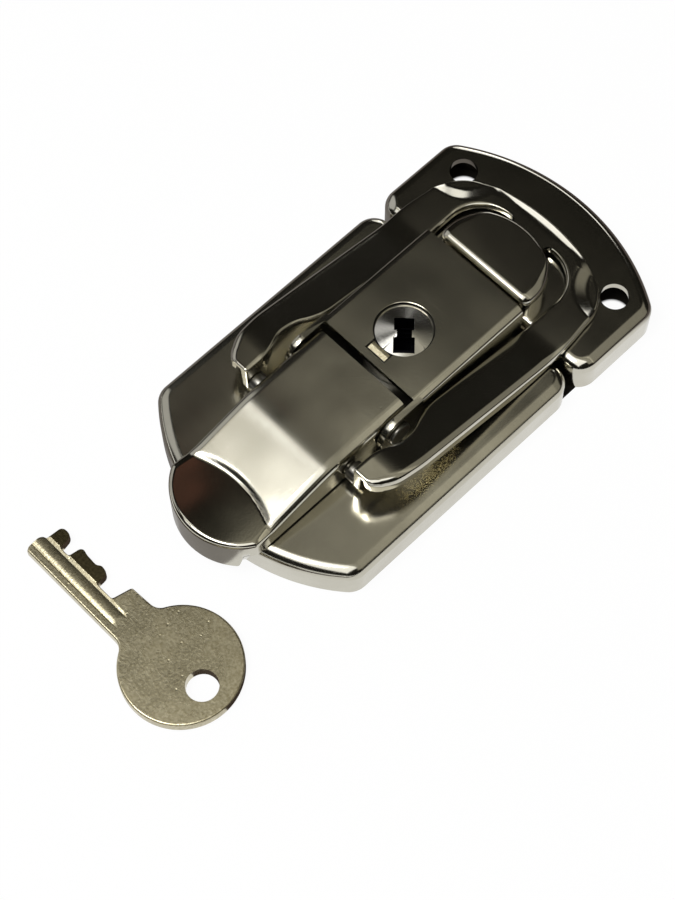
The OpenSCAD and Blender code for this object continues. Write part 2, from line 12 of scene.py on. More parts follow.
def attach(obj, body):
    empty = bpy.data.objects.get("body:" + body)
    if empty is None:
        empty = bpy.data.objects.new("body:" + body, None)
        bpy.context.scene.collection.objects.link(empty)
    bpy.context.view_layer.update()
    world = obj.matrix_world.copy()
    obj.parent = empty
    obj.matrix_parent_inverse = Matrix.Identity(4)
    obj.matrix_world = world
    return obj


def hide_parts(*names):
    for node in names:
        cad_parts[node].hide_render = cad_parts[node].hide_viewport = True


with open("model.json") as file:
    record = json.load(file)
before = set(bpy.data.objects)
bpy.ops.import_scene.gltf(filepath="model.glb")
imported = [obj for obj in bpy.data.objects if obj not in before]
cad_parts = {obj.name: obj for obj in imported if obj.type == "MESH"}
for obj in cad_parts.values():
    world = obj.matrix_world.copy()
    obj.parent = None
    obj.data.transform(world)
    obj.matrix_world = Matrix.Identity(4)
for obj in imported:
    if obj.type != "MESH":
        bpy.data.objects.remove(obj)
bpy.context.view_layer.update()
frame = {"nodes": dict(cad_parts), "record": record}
MM = 0.001

# Sizes of the latch in mm, in the frame of the part: X across, Y along the pull, Z off the panel
SHEET = 1.0
EDGE_ROUND = 1.8
PLATE_HEIGHT = 5.8
PLATE_CORNER = 3.2
BASE_HALF, PARTING_Y, BASE_REACH, BASE_END_R = 20.0, 14.1, 36.8, 29.0
STRIKE_HALF, STRIKE_NEAR, STRIKE_FAR, STRIKE_END_R = 20.45, 14.9, 36.9, 34.7
HOOK_HALF, HOOK_TIP, HOOK_HEIGHT, HOOK_NECK, HOOK_FRONT = 8.6, 24.6, 10.4, 1.3, 0.5
HINGE_Y, HINGE_Z, HINGE_R = -10.7, 8.8, 1.2
LOOP_PIN_Y, LOOP_PIN_Z, LOOP_PIN_R = -18.8, 8.0, 1.0
# Running gap of a pin in its hole
PIN_GAP = 0.05
# Screw holes: their radius, and one of each pair under the arms, under the lever and in the strike
SCREW_R = 2.1
ARM_SCREW, LEVER_SCREW, STRIKE_SCREW = (13.2, 5.0), (5.5, -27.0), (15.0, 27.7)
# Other openings in the base: the barrel hole, and half width and ends of the window for the tongue
BARREL_HOLE_R = 5.66
WINDOW_SIDE, WINDOW_NEAR, WINDOW_FAR = 3.1, -18.3, -7.7
# A drill goes from under the top of a plate to over it, other cutters stand out of a piece by this much
DRILL_LOW, DRILL_HIGH, THROUGH = 3.0, 8.0, 1.0
# A face is a wall while the Z of its normal is under this
WALL_Z = 0.5


def colour(code):
    """sRGB hex to linear RGBA."""
    parts = [int(code[i:i + 2], 16) / 255 for i in (1, 3, 5)]
    return [c / 12.92 if c <= 0.04045 else ((c + 0.055) / 1.055) ** 2.4 for c in parts] + [1.0]


def add(tree, kind, links=None, **settings):
    """Adds a node, sets what is given and joins its inputs to sockets or values."""
    node = tree.nodes.new(kind)
    for name, value in settings.items():
        setattr(node, name, value)
    for name, value in (links or {}).items():
        if isinstance(value, bpy.types.NodeSocket):
            tree.links.new(value, node.inputs[name])
        else:
            node.inputs[name].default_value = value
    return node


# Patterns on metal in mm: tarnish clouds, pits, rub marks, waves from pressing, and the height of the grain.
# The grain of each finish is drawn coarser than the real one, so that it shows
CLOUD_MM, PIT_MM, RUB_MM, SWELL_MM, GRAIN_HIGH_MM = 9.0, 1.6, 5.0, 11.0, 0.02


def steel_finish(name, light, dark, rough, worn, grain_mm, grain, pits, wave_mm=0.0, speckle=0.1):
    """Metal sheet or plate: tarnish clouds, slow waves, rolled grain, pits and fine rub marks."""
    mat = bpy.data.materials.new(name)
    mat.use_nodes = True
    tree = mat.node_tree
    tree.nodes.clear()
    out = add(tree, "ShaderNodeOutputMaterial")
    place = add(tree, "ShaderNodeTexCoord").outputs["Object"]
    cloud = add(tree, "ShaderNodeTexNoise", {
        "Vector": place, "Scale": 1 / (CLOUD_MM * MM), "Detail": 4.0, "Roughness": 0.6})
    grit = add(tree, "ShaderNodeTexNoise", {"Vector": place, "Scale": 1 / (grain_mm * MM), "Detail": 3.0})
    spots = add(tree, "ShaderNodeTexVoronoi", {
        "Vector": place, "Scale": 1 / (PIT_MM * MM), "Randomness": 1.0})
    pit = add(tree, "ShaderNodeMapRange", {
        "Value": spots.outputs["Distance"], "From Min": 0.03, "From Max": 0.12, "To Min": 1.0, "To Max": 0.0})
    slanted = add(tree, "ShaderNodeMapping", {"Vector": place, "Rotation": (0, 0, 0.7), "Scale": (1, 16, 1)})
    rubs = add(tree, "ShaderNodeTexNoise", {
        "Vector": slanted.outputs["Vector"], "Scale": 1 / (RUB_MM * MM), "Detail": 6.0})
    rub = add(tree, "ShaderNodeMapRange", {"Value": rubs.outputs["Fac"], "From Min": 0.45, "From Max": 0.85})
    tone = add(tree, "ShaderNodeMapRange", {"Value": cloud.outputs["Fac"], "From Min": 0.3, "From Max": 0.7})
    fleck = add(tree, "ShaderNodeMapRange", {"Value": grit.outputs["Fac"], "From Min": 0.3, "From Max": 0.7})
    mottle = add(tree, "ShaderNodeMix", {
        "Factor": speckle, 2: tone.outputs["Result"], 3: fleck.outputs["Result"]})
    tint = add(tree, "ShaderNodeMix", {"Factor": mottle.outputs["Result"]}, data_type="RGBA")
    tint.inputs["A"].default_value = colour(light)
    tint.inputs["B"].default_value = colour(dark)
    wear = add(tree, "ShaderNodeMath", {0: tone.outputs["Result"], 1: rub.outputs["Result"]},
               operation="MAXIMUM")
    gloss = add(tree, "ShaderNodeMapRange", {
        "Value": wear.outputs["Value"], "To Min": rough, "To Max": worn})
    relief = add(tree, "ShaderNodeMath", {0: pit.outputs["Result"], 1: -pits, 2: grit.outputs["Fac"]},
                 operation="MULTIPLY_ADD")
    swell = add(tree, "ShaderNodeTexNoise", {"Vector": place, "Scale": 1 / (SWELL_MM * MM), "Detail": 1.0})
    waves = add(tree, "ShaderNodeBump", {
        "Height": swell.outputs["Fac"], "Strength": 1.0, "Distance": wave_mm * MM})
    bump = add(tree, "ShaderNodeBump", {
        "Height": relief.outputs["Value"], "Strength": grain, "Distance": GRAIN_HIGH_MM * MM,
        "Normal": waves.outputs["Normal"]})
    shader = add(tree, "ShaderNodeBsdfPrincipled", {
        "Base Color": tint.outputs["Result"], "Metallic": 1.0, "Roughness": gloss.outputs["Result"],
        "Normal": bump.outputs["Normal"]})
    tree.links.new(shader.outputs["BSDF"], out.inputs["Surface"])
    return mat


# Polished stainless sheet: a near mirror with faint tarnish clouds, a little wavy from pressing
polished_stainless = steel_finish("polished_stainless", "#c9c6bb", "#bab6a8", rough=0.10, worn=0.14,
                                  grain_mm=0.5, grain=0.02, pits=0.5, wave_mm=0.04)
# The same sheet rubbed a little dull: soft gloss with a few specks
dull_stainless = steel_finish("dull_stainless", "#c4c1b4", "#b6b2a4", rough=0.13, worn=0.18,
                              grain_mm=0.25, grain=0.12, pits=1.2, wave_mm=0.09)
# The thumb pad, rubbed to a mirror by use
thumb_polish = steel_finish("thumb_polished_stainless", "#c4c1b4", "#b9b5a6", rough=0.05, worn=0.08,
                            grain_mm=0.3, grain=0.04, pits=0.6, wave_mm=0.05)
# Plain turned steel of pins, washers and rivets, darker than the sheet
turned_steel = steel_finish("turned_steel", "#7d7b75", "#63615b", rough=0.24, worn=0.36,
                            grain_mm=0.2, grain=0.15, pits=0.4)
# Die-cast zinc: matt skin, coloured dark as painted shade for the barrel seen in the shadow under the cover
cast_zinc = steel_finish("cast_zinc", "#4a4945", "#34332f", rough=0.42, worn=0.55,
                         grain_mm=0.3, grain=0.4, pits=0.8)
# Bright nickel plate on the plug: pale, with a soft gloss
bright_nickel = steel_finish("bright_nickel", "#dcdad2", "#cfccc2", rough=0.14, worn=0.24,
                             grain_mm=0.3, grain=0.08, pits=0.4, wave_mm=0.05)
# Walls of the keyway: near black, painted shade
keyway_painted_shade = steel_finish("keyway_painted_shade", "#131317", "#0a0a0c", rough=0.5, worn=0.6,
                               grain_mm=0.3, grain=0.3, pits=0.4)
# Stamped brass of the wafers, coloured nearly black as painted shade in the keyway
dark_shaded_wafers = steel_finish("dark_shaded_wafers", "#1c1a14", "#12110d", rough=0.5, worn=0.6,
                             grain_mm=0.25, grain=0.15, pits=0.4)
# Worn nickel of the key and the barrel's lug: sparkling grain, yellow where the plate is thin
worn_nickel = steel_finish("worn_nickel", "#d2caae", "#93896a", rough=0.20, worn=0.34,
                           grain_mm=0.35, grain=0.8, pits=1.0, wave_mm=0.03, speckle=0.6)
# Cut side of the key blade: brass where the plate is cut away, made darker brown as painted shade for the
# dark look of the milled face
cut_brass_painted_dark = steel_finish("cut_brass_painted_dark", "#7a7052", "#4a4330", rough=0.22, worn=0.34,
                         grain_mm=0.35, grain=0.5, pits=1.0, speckle=0.6)

FINISH = {"stainless": polished_stainless, "satin_stainless": dull_stainless, "pin_steel": turned_steel,
          "zinc": cast_zinc, "nickel": bright_nickel, "wafer_brass": dark_shaded_wafers, "key_brass": worn_nickel}
SLOT = {p["node"]: p["material_slot"] for p in frame["record"]["subparts"]}
BODY = {n: b for b, nodes in frame["record"]["behaviour"]["bodies"].items() for n in nodes}
for node_name, node_object in frame["nodes"].items():
    node_object.data.materials.clear()
    node_object.data.materials.append(FINISH[SLOT[node_name]])


def eased(t):
    """From 0 to 1 with a soft start and end."""
    t = min(1, max(0, t))
    return t * t * (3 - 2 * t)


def arc(x, y, r, start, end, n):
    """Points of an arc round (x, y), its angles in degrees."""
    turns = np.radians(np.linspace(start, end, n + 1))
    return [(x + r * math.cos(a), y + r * math.sin(a)) for a in turns]


def circle(x, y, r, steps):
    """Points of a full circle round (x, y)."""
    return arc(x, y, r, 0, 360 - 360 / steps, steps - 1)


def skin(rings):
    """Points and faces of a closed skin through rings of equal length, capped at both ends."""
    n, m = len(rings), len(rings[0])
    points = [p for ring in rings for p in ring]
    faces = [(i * m + j, (i + 1) * m + j, (i + 1) * m + (j + 1) % m, i * m + (j + 1) % m)
             for i in range(n - 1) for j in range(m)]
    faces += [tuple(range(m)), tuple((n - 1) * m + j for j in range(m - 1, -1, -1))]
    return points, faces


def solid(name, points, faces):
    """A mesh object from points in mm, its faces turned outward."""
    mesh = bpy.data.meshes.new(name)
    mesh.from_pydata([tuple(c * MM for c in p) for p in points], [], faces)
    work = bmesh.new()
    work.from_mesh(mesh)
    bmesh.ops.remove_doubles(work, verts=work.verts, dist=1e-7)
    bmesh.ops.recalc_face_normals(work, faces=work.faces)
    work.to_mesh(mesh)
    work.free()
    obj = bpy.data.objects.new(name, mesh)
    bpy.context.scene.collection.objects.link(obj)
    return obj


def rod(x, y, low, high, r, steps=64):
    """Round cutter along Z."""
    plan = circle(x, y, r, steps)
    return solid("cutter", *skin([[(px, py, z) for px, py in plan] for z in (low, high)]))


def cross_rod(half, y, z, r, steps=48):
    """Round cutter along X."""
    side = circle(y, z, r, steps)
    return solid("cutter", *skin([[(x, py, pz) for py, pz in side] for x in (-half, half)]))


def block(low, high):
    """Box between two corners."""
    (a, b, c), (d, e, f) = low, high
    return solid("cutter", *skin([[(a, b, z), (d, b, z), (d, e, z), (a, e, z)] for z in (c, f)]))


def combine(target, others, operation):
    """Cuts or joins closed meshes, then drops the tools."""
    for other in others:
        step = target.modifiers.new("step", "BOOLEAN")
        step.operation = operation
        step.solver = "EXACT"
        step.object = other
        bpy.context.view_layer.update()
        done = bpy.data.meshes.new_from_object(target.evaluated_get(bpy.context.evaluated_depsgraph_get()))
        target.modifiers.clear()
        target.data = done
        bpy.data.objects.remove(other)


def dress(obj, node, sharp=32, finish=None):
    """Shades the piece, gives it the finish of its node or its own and puts it in the node's place."""
    obj.name = node + "_form"
    obj.data.materials.clear()
    obj.data.materials.append(finish or FINISH[SLOT[node]])
    obj.data.shade_smooth()
    obj.data.set_sharp_from_angle(angle=math.radians(sharp))
    level = obj.modifiers.new("even_normals", "WEIGHTED_NORMAL")
    level.keep_sharp = True
    level.weight = 80
    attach(obj, BODY[node])
    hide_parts(node)
    return obj


def second_finish(obj, finish, chosen):
    """Gives a second finish to the faces that are chosen by their normal and their centre in mm."""
    obj.data.materials.append(finish)
    for face in obj.data.polygons:
        face.material_index = 1 if chosen(face.normal, face.center / MM) else 0


def round_over(work, edges, width, segments):
    """Rounds edges of a mesh in work by a width in mm."""
    bmesh.ops.bevel(work, geom=edges, offset=width * MM, segments=segments, profile=0.5, affect="EDGES",
                    clamp_overlap=True)


def soften(node, width, sharp=40, limit=None):
    """Copy of the CAD piece, its sharp edges rounded by a width, kept inside a limiting solid."""
    source = frame["nodes"][node]
    mesh = source.data.copy()
    mesh.transform(source.matrix_world)
    work = bmesh.new()
    work.from_mesh(mesh)
    bmesh.ops.remove_doubles(work, verts=work.verts, dist=1e-6)
    bmesh.ops.dissolve_limit(work, angle_limit=math.radians(0.5), verts=work.verts, edges=work.edges)
    edges = [e for e in work.edges if len(e.link_faces) == 2 and e.calc_face_angle(0) > math.radians(sharp)]
    round_over(work, edges, width, 3)
    work.to_mesh(mesh)
    work.free()
    obj = bpy.data.objects.new(node, mesh)
    bpy.context.scene.collection.objects.link(obj)
    if limit:
        combine(obj, [limit], "INTERSECT")
    return dress(obj, node)


def plate_outline(half, straight, reach, end_r, d):
    """Plate with one straight end and one round end, drawn in by d."""
    r = PLATE_CORNER
    fx = half - r
    fy = math.sqrt((end_r - r) ** 2 - fx ** 2)
    cy = reach - end_r
    turn = math.degrees(math.atan2(fy, fx))
    return (arc(-fx, straight + r, r - d, 180, 270, 14) + arc(fx, straight + r, r - d, 270, 360, 14)
            + arc(fx, cy + fy, r - d, 0, turn, 12) + arc(0, cy, end_r - d, turn + 1, 179 - turn, 56)
            + arc(-fx, cy + fy, r - d, 180 - turn, 180, 12))


def plate_rings(half, straight, reach, end_r, height, r, d, flip):
    """Rings up the wall of a plate and over its rounded edge."""
    turns = np.radians(range(0, 91, 6))
    levels = [(0, 0)] + [(height - r + r * math.sin(a), r - r * math.cos(a)) for a in turns]
    return [[(flip * x, flip * y, z) for x, y in plate_outline(half, straight, reach, end_r, d + inset)]
            for z, inset in levels]


def pan(half, straight, reach, end_r, flip=1):
    """Hollow pressed plate: down the inside, out under the rim and up the outside."""
    inside = plate_rings(half, straight, reach, end_r, PLATE_HEIGHT - SHEET, EDGE_ROUND - SHEET, SHEET, flip)
    outside = plate_rings(half, straight, reach, end_r, PLATE_HEIGHT, EDGE_ROUND, 0, flip)
    return solid("pan", *skin(inside[::-1] + outside))


# Base: pressed pan with two pairs of screw holes, the barrel hole and the window for the tongue of the lever
base = pan(BASE_HALF, -PARTING_Y, BASE_REACH, BASE_END_R, flip=-1)
combine(base, [rod(side * x, y, DRILL_LOW, DRILL_HIGH, SCREW_R)
               for side in (-1, 1) for x, y in (ARM_SCREW, LEVER_SCREW)], "DIFFERENCE")
tongue_window = block((-WINDOW_SIDE, WINDOW_NEAR, DRILL_LOW), (WINDOW_SIDE, WINDOW_FAR, DRILL_HIGH))
combine(base, [rod(0, 0, DRILL_LOW, DRILL_HIGH, BARREL_HOLE_R), tongue_window], "DIFFERENCE")
dress(base, "base_plate", finish=dull_stainless)

# Strike: pan with the hook drawn up out of it, whose nose is a round end between two tighter corners
NOSE_R, NOSE_TURN = 6.2, 62
NOSE_END_R = NOSE_R + (HOOK_HALF - NOSE_R) / math.cos(math.radians(NOSE_TURN))
NOSE_END_Y = HOOK_TIP - NOSE_END_R
NOSE_Y = NOSE_END_Y + (NOSE_END_R - NOSE_R) * math.sin(math.radians(NOSE_TURN))
# Bend radii of the hook: wide at its sides, middling at its front, thin at the nose over the loop
HOOK_CORNER, SIDE_BEND, FRONT_BEND, NOSE_BEND = 1.6, 1.5, 1.2, 0.35
# How far sideways the edge faces where the thin bend begins to widen, and over how much it widens
WIDEN_FROM, WIDEN_OVER = 0.5, 0.45
# The cheeks stand a little inside the bend, and go down into the plate
CHEEK_IN, CHEEK_FOOT = 0.15, PLATE_HEIGHT - 0.8
# Hollow under the hook
HOLLOW_IN, HOLLOW_CORNER = HOOK_NECK + SHEET, 0.1


def edge_arc(x, y, r, start, end, n):
    """Points of an arc, each with its outward direction."""
    return [(x + r * math.cos(a), y + r * math.sin(a), math.cos(a), math.sin(a))
            for a in np.radians(np.linspace(start, end, n + 1))]


hook_x, hook_y = HOOK_HALF - HOOK_CORNER, STRIKE_NEAR + HOOK_FRONT + HOOK_CORNER
hook_edge = (edge_arc(-hook_x, hook_y, HOOK_CORNER, 180, 270, 10)
             + edge_arc(hook_x, hook_y, HOOK_CORNER, 270, 360, 10)
             + edge_arc(HOOK_HALF - NOSE_R, NOSE_Y, NOSE_R, 0, NOSE_TURN, 30)
             + edge_arc(0, NOSE_END_Y, NOSE_END_R, NOSE_TURN + 2, 178 - NOSE_TURN, 24)
             + edge_arc(-HOOK_HALF + NOSE_R, NOSE_Y, NOSE_R, 180 - NOSE_TURN, 180, 30))


def hook_bend(nx, ny):
    """Bend radius where the edge of the hook faces (nx, ny)."""
    if ny < 0:
        return FRONT_BEND + (SIDE_BEND - FRONT_BEND) * nx * nx
    return NOSE_BEND + (SIDE_BEND - NOSE_BEND) * eased((abs(nx) - WIDEN_FROM) / WIDEN_OVER)


def hook_rings():
    """Cheeks up from the plate, out under the nose and over the bend to the flat top."""
    foot = HOOK_TIP - HOOK_NECK
    cheek = [(x - CHEEK_IN * nx, min(y - CHEEK_IN * ny, foot)) for x, y, nx, ny in hook_edge]
    bends = [hook_bend(nx, ny) for x, y, nx, ny in hook_edge]
    under = [HOOK_HEIGHT - max(SHEET, r) for r in bends]
    rings = [[(x, y, CHEEK_FOOT) for x, y in cheek], [(x, y, z) for (x, y), z in zip(cheek, under)],
             [(x, y, z) for (x, y, nx, ny), z in zip(hook_edge, under)]]
    for a in np.radians(range(0, 91, 9)):
        ins, up = 1 - math.cos(a), math.sin(a) - 1
        rings.append([(x - nx * r * ins, y - ny * r * ins, HOOK_HEIGHT + r * up)
                      for (x, y, nx, ny), r in zip(hook_edge, bends)])
    return rings


strike = pan(STRIKE_HALF, STRIKE_NEAR, STRIKE_FAR, STRIKE_END_R)
combine(strike, [solid("hook", *skin(hook_rings()))], "UNION")
hollow_x = HOOK_HALF - HOLLOW_IN - HOLLOW_CORNER
hollow_y = STRIKE_NEAR + HOOK_FRONT + SHEET + HOLLOW_CORNER
hollow_plan = (arc(-hollow_x, hollow_y, HOLLOW_CORNER, 180, 270, 8)
               + arc(hollow_x, hollow_y, HOLLOW_CORNER, 270, 360, 8)
               + arc(HOOK_HALF - NOSE_R, NOSE_Y, NOSE_R - HOLLOW_IN, 0, NOSE_TURN, 24)
               + arc(0, NOSE_END_Y, NOSE_END_R - HOLLOW_IN, NOSE_TURN + 2, 178 - NOSE_TURN, 24)
               + arc(-HOOK_HALF + NOSE_R, NOSE_Y, NOSE_R - HOLLOW_IN, 180 - NOSE_TURN, 180, 24))
hollow_levels = (-THROUGH, HOOK_HEIGHT - SHEET)
hollow = solid("cutter", *skin([[(x, y, z) for x, y in hollow_plan] for z in hollow_levels]))
strike_x, strike_y = STRIKE_SCREW
strike_holes = [rod(x, strike_y, DRILL_LOW, DRILL_HIGH, SCREW_R) for x in (-strike_x, strike_x)]
combine(strike, [hollow] + strike_holes, "DIFFERENCE")
dress(strike, "strike_plate")

# Draw loop: cranked pressed strip, its outer edge turned down, run from one ear round to the other
LOOP_HALF, WINDOW_HALF, LOOP_HIGH, LOOP_LOW, WINDOW_REACH = 16.4, 10.0, 12.3, 7.6, 26.2
# Crank between the two ends of the loop, its bends eased
CRANK_FROM, CRANK_TO, CRANK_EASE = LOOP_PIN_Y + 1.3, STRIKE_NEAR, 0.16
# Coined facets at the hook end: fall per mm, greatest depth and fold line
FACET_FALL, COIN_DEPTH, FOLD_Y = 0.26, 0.5, WINDOW_REACH + 1.8
# Lens at each corner: the direction across it, its place out and along, half length and bulge
LENS_X, LENS_Y, LENS_OUT, LENS_ALONG, LENS_HALF, LENS_BULGE = 0.68, 0.733, 26.2, 8.0, 4.3, 1.7
# Ear: its end, inner face, radius and run round the stud, and how its lower edge climbs to the arm
EAR_END, EAR_IN, EAR_R, EAR_RUN, EAR_STEP, EAR_CLIMB = -20.25, 10.4, 1.6, 1.5, 0.5, 1.3
# The ears hang down as far as here, and their cut ends are rounded over
EAR_TO, EAR_ROUND = -12.0, 0.3
# Turned-down rim: depth, bend radius, and how the bend tightens toward the hook
RIM_DEEP, RIM_R, RIM_LEAST_R, RIM_TIGHT_Y, RIM_TIGHTEN = 2.3, 1.1, 0.4, 12.0, 0.15
# Rim over the plate, straight part below its bend, rounding of the inner lip, and eased corners underneath
RIM_CLEAR, RIM_STRAIGHT, LIP_R, RIM_EASE, EAR_EASE, EAR_ROOT = 0.5, 0.25, 0.45, 0.3, 0.35, 0.1


def loop_level(y):
    """Height of the loop's top along the crank."""
    t = min(1, max(0, (y - CRANK_FROM) / (CRANK_TO - CRANK_FROM)))
    if t < CRANK_EASE:
        way = t * t / (2 * CRANK_EASE)
    elif t > 1 - CRANK_EASE:
        way = 1 - CRANK_EASE - (1 - t) ** 2 / (2 * CRANK_EASE)
    else:
        way = t - CRANK_EASE / 2
    return LOOP_HIGH - (LOOP_HIGH - LOOP_LOW) * way / (1 - CRANK_EASE)


def loop_top(x, y):
    """Height of the loop's top with the coined facets of its hook end."""
    along = (y * LENS_X - abs(x) * LENS_Y - LENS_ALONG) / LENS_HALF
    lens_drop = abs(x) * LENS_X + y * LENS_Y - LENS_OUT + LENS_BULGE * (1 - along * along)
    coined = min(COIN_DEPTH, FACET_FALL * max(0, y - FOLD_Y, lens_drop)) if y > STRIKE_NEAR else 0
    return loop_level(y) - coined


def ear_bottom(y):
    """Lower edge of the ear: round under the stud, then climbing to the arm."""
    if y < LOOP_PIN_Y + EAR_RUN:
        return LOOP_PIN_Z - math.sqrt(max(0, EAR_R ** 2 - (y - LOOP_PIN_Y) ** 2))
    return LOOP_PIN_Z - EAR_STEP + (y - LOOP_PIN_Y - EAR_RUN) * EAR_CLIMB


# Arm of the loop by Y: its inner and outer edge
ARM = np.array([(EAR_END, EAR_IN, 13.5), (-19.7, EAR_IN, 14.2), (-18.8, EAR_IN, 14.9), (-17.9, EAR_IN, 15.4),
                (-17.3, EAR_IN, 15.7), (-16.6, EAR_IN, 15.95), (-14.6, 11.0, 16.2), (-12.6, 11.9, LOOP_HALF),
                (-9.6, 11.7, LOOP_HALF), (-7.6, 10.7, LOOP_HALF), (-5, WINDOW_HALF, LOOP_HALF),
                (11, WINDOW_HALF, LOOP_HALF), (15, 10.1, 16.3), (18, 10.2, 16.0)])
# Stations along the arm, closer together over the ear, the length over which its edges are eased, and the
# slack with which places are compared
EAR_SPACING, ARM_SPACING, FINE_TO, ARM_TO, ARM_EASE, SLACK = 0.25, 0.5, -4, 18, 1.0, 0.01
stations = np.concatenate([[EAR_END], np.arange(EAR_END + 2 * EAR_SPACING, FINE_TO, EAR_SPACING),
                           np.arange(FINE_TO, ARM_TO + SLACK, ARM_SPACING)])


def smooth_rows(column):
    """Arm edge at the stations: straight between rows, then eased over two millimetres."""
    raw = np.interp(stations, ARM[:, 0], ARM[:, column])
    out = raw.copy()
    for i, y in enumerate(stations):
        near = np.abs(stations - y) <= min(ARM_EASE, y - stations[0] + SLACK, stations[-1] - y + SLACK)
        out[i] = raw[near].mean()
    return out


# Hook end of the loop: outer corners with a rounder end between them, and corners of the window
CORNER_R, CORNER_Y, CORNER_TURN = 7.1, 20.9, 66
# The hook end is narrower than the arms outside and wider inside, by these
END_NARROW, END_WIDEN = 0.8, 0.2
CORNER_X = LOOP_HALF - END_NARROW - CORNER_R
corner_cos, corner_sin = math.cos(math.radians(CORNER_TURN)), math.sin(math.radians(CORNER_TURN))
END_R = (CORNER_X + CORNER_R * corner_cos) / corner_cos
END_Y = CORNER_Y + (CORNER_R - END_R) * corner_sin
INNER_R = 6.0
INNER_X, INNER_Y = WINDOW_HALF + END_WIDEN - INNER_R, WINDOW_REACH - INNER_R
# Nib in the middle of the window's far edge, from its right foot to its middle
NIB = [(3.4, 26.15), (2.95, 25.95), (2.75, 25.5), (2.7, 24.6), (2.65, 24.0), (2.3, 23.8), (1.2, 23.8),
       (0, 23.8)]
right_in = list(zip(smooth_rows(1), stations)) + arc(INNER_X, INNER_Y, INNER_R, 0, 90, 40) + NIB
right_out = list(zip(smooth_rows(2), stations)) + arc(CORNER_X, CORNER_Y, CORNER_R, 0, CORNER_TURN, 40)
right_out += arc(0, END_Y, END_R, CORNER_TURN, 90, 8)[1:]
path_in = np.array(right_in + [(-x, y) for x, y in right_in[-2::-1]])
path_out = np.array(right_out + [(-x, y) for x, y in right_out[-2::-1]])


def loop_ring(a, b):
    """One cross section: up the inner lip, across, down the outer rim and back underneath."""
    span = np.hypot(*(b - a))
    u = (b - a) / span
    low = max(SHEET, min(RIM_DEEP, loop_top(*b) - PLATE_HEIGHT - RIM_CLEAR))
    r = min(RIM_R, low - RIM_STRAIGHT, max(RIM_LEAST_R, RIM_R - (b[1] - RIM_TIGHT_Y) * RIM_TIGHTEN))
    deep = max(SHEET, LOOP_HIGH - ear_bottom(a[1]) if a[1] < EAR_TO else 0)
    edge = [(LIP_R - LIP_R * math.cos(t), LIP_R * math.sin(t) - LIP_R) for t in np.radians(range(0, 91, 15))]
    rim = [(span - r + r * math.sin(t), r * math.cos(t) - r) for t in np.radians(range(0, 91, 10))]
    across = [(LIP_R + (span - r - LIP_R) * t, 0) for t in np.linspace(0, 1, 14)[1:-1]]
    under = [(span, -low), (span - SHEET, -low), (span - SHEET - RIM_EASE, -SHEET),
             (SHEET + EAR_EASE, -SHEET), (SHEET + EAR_ROOT, -deep)]
    spots = [(0, -deep)] + edge + across + rim + under
    plan = [(a[0] + u[0] * s, a[1] + u[1] * s, h) for s, h in spots]
    return [(x, y, loop_top(x, y) + h) for x, y, h in plan]


loop = solid("loop", *skin([loop_ring(a, b) for a, b in zip(path_in, path_out)]))
work = bmesh.new()
work.from_mesh(loop.data)
ear_edges = [e for e in work.edges if all(v.co.y < (EAR_END + SLACK) * MM for v in e.verts)]
round_over(work, ear_edges, EAR_ROUND, 4)
work.to_mesh(loop.data)
work.free()
dress(loop, "draw_loop", sharp=40)

# Lever: channel with a ridge, a sloping run and a round thumb pad turned down at its end
LEVER_HALF, LEVER_FRONT, LEVER_TOP = 8.5, -8.2, 12.0
RIDGE_Y, RIDGE_SOFT, SLOPE = -22.4, 3.0, math.tan(math.radians(13.2))
# Thumb pad: height, round end, the circle of its crease with its softness, and where the pad can begin
TAB_TOP, TAB_R, TAB_Y, CREASE_R, CREASE_Y, CREASE_SOFT, PAD_FROM = 9.4, 9.9, -31.2, 16.1, -47.3, 0.10, -29
# Lower edges: the skirt, the lip of the pad with the slopes at its ends, and the round lug of the hinge
SKIRT_LOW, LIP_LOW, LIP_HALF, LIP_OVER, LIP_RUN, HINGE_LUG_R = 6.3, 3.0, 6.9, 0.6, 0.8, 2.5
# Rows along the sides, and how far behind the corners of the pad the rows of its round end meet
ROW_STEP, PAD_MIDDLE = 0.3, 2.0
# Bend over the shoulders: along the sides, at the pad, and the run in which one becomes the other
SHOULDER_BEND, PAD_BEND, BEND_RUN = 1.4, 0.8, 5.0
# Tongue behind the front of the lever, which the sickle of the lock catches
TONGUE_HALF, TONGUE_BACK, TONGUE_LOW, TONGUE_HIGH = 2.5, -9.2, 2.0, 11.4
PIN_REACH = 11.0


def lever_top(x, y):
    """Height of the pressed top, the ridge and the crease eased."""
    run = RIDGE_Y - y
    slope = LEVER_TOP - SLOPE * (run + math.sqrt(run * run + RIDGE_SOFT)) / 2
    inside = CREASE_R - math.hypot(x, y - CREASE_Y)
    pad = (1 + math.tanh(inside / CREASE_SOFT / 2)) / 2
    return slope + (TAB_TOP - slope) * pad if y < PAD_FROM else slope


def lever_path(d):
    """Plan outline drawn in by d: the right side from the front, and the thumb end from right to left."""
    half, r = LEVER_HALF - d, TAB_R - d
    meet = math.degrees(math.acos(half / r))
    side = [(half, y) for y in np.arange(LEVER_FRONT, TAB_Y - r * math.sin(math.radians(meet)), -ROW_STEP)]
    return side, arc(0, TAB_Y, r, -meet, -180 + meet, 90)


